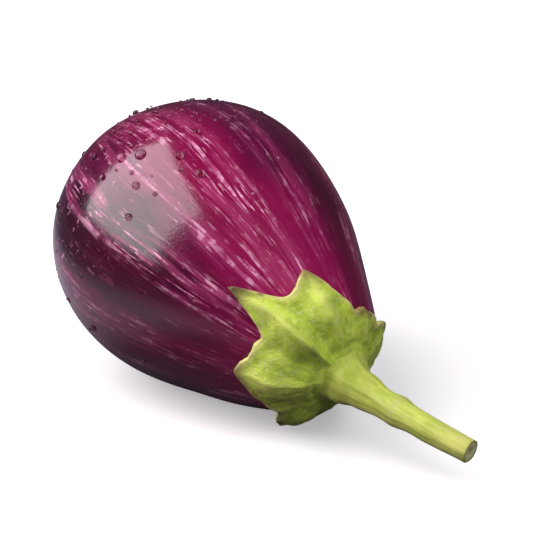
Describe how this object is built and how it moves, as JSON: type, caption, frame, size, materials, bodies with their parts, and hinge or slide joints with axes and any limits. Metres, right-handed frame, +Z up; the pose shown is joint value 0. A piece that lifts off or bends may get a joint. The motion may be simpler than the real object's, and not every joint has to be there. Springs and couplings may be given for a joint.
{
  "type": "eggplant",
  "caption": "Small round-bodied striped eggplant as picked, lying on its side with a lobed green calyx over its blunt neck and a curved cut stem.",
  "frame": {"origin": "middle of the small flat resting spot under the belly, on the plane the eggplant lies on", "axes": "+X runs level along the fruit from the blossom end to the stem, +Z is up out of the resting plane, +Y completes the right-handed frame"},
  "size_m": [0.0976, 0.055, 0.0546],
  "materials": {
    "skin": "glossy waxy vegetable skin, deep purple to magenta with pale pink streaks",
    "calyx": "matte, slightly felted fresh green leaf tissue",
    "stem": "matte yellow-green stem"
  },
  "bodies": {
    "root": {"fruit": "skin", "calyx": "calyx", "stem": "stem"}
  },
  "joints": []
}
